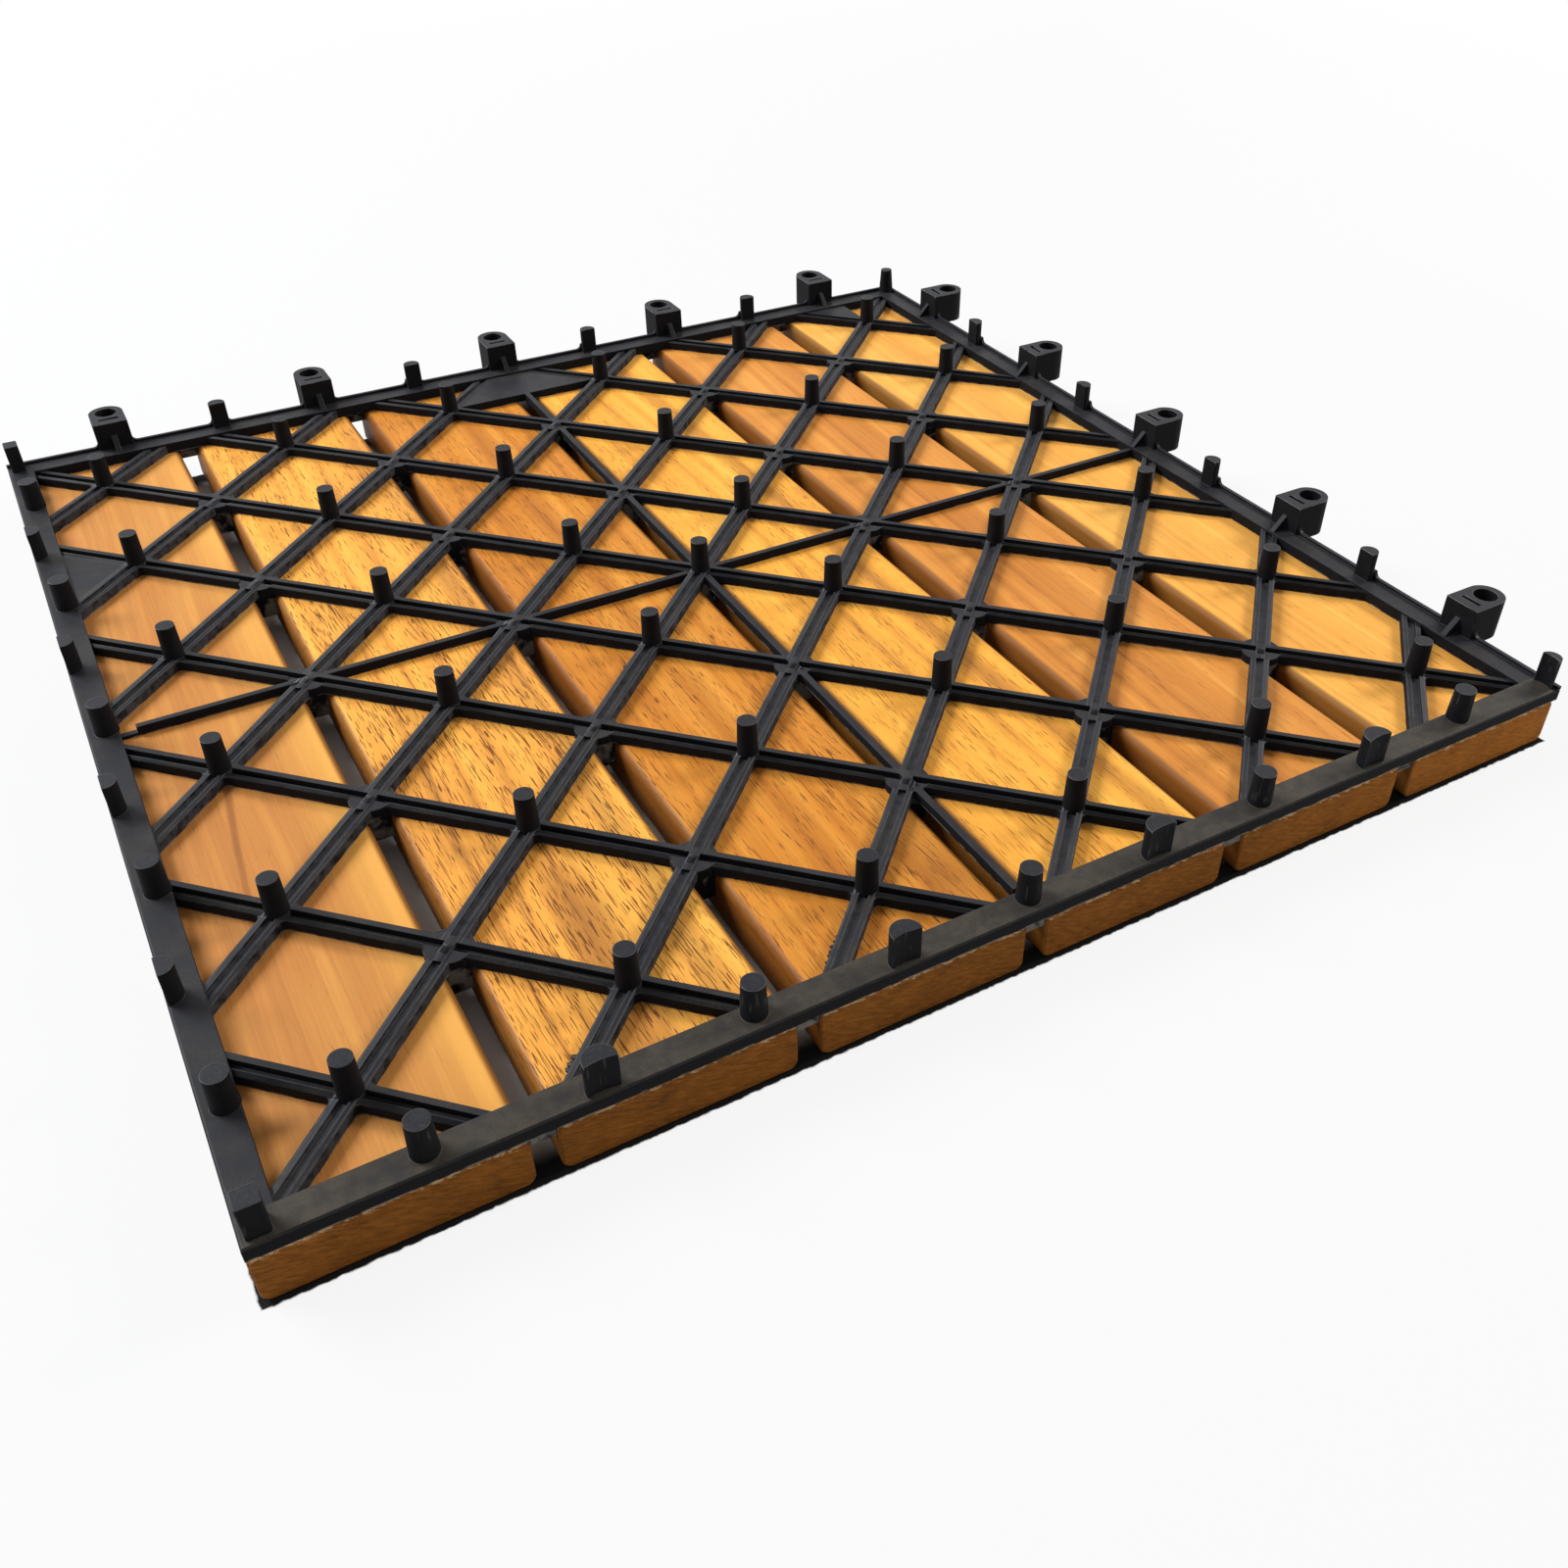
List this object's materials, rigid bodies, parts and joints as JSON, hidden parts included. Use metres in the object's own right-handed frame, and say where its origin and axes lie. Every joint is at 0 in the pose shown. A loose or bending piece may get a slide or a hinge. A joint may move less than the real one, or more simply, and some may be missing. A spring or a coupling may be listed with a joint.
{
  "type": "interlocking deck tile",
  "caption": "Square deck tile: parallel wooden slats held by a plastic grid underneath, with tapered pins along its front and left and eyes along its back and right that lock tiles together.",
  "frame": {"origin": "centre of the bounding box in X and Y, on the plane of the wooden walking face, which lies at Z 0 with the tile upside down", "axes": "+Z from the walking face to the feet, +Y along the slats, +X across them; the pins stand along the -X and -Y sides and the eyes along the +X and +Y sides"},
  "size_m": [0.311, 0.311, 0.0228],
  "materials": {
    "grid_plastic": "charcoal recycled plastic, satin, with fine mottling and thin flash lines from the mould",
    "slat_wood": "oiled hardwood, golden to orange-brown from slat to slat, with fine dark pores and darker end grain"
  },
  "bodies": {
    "root": {"base_grid": "grid_plastic", "slat_1": "slat_wood", "slat_2": "slat_wood", "slat_3": "slat_wood", "slat_4": "slat_wood", "slat_5": "slat_wood", "slat_6": "slat_wood"}
  },
  "joints": []
}
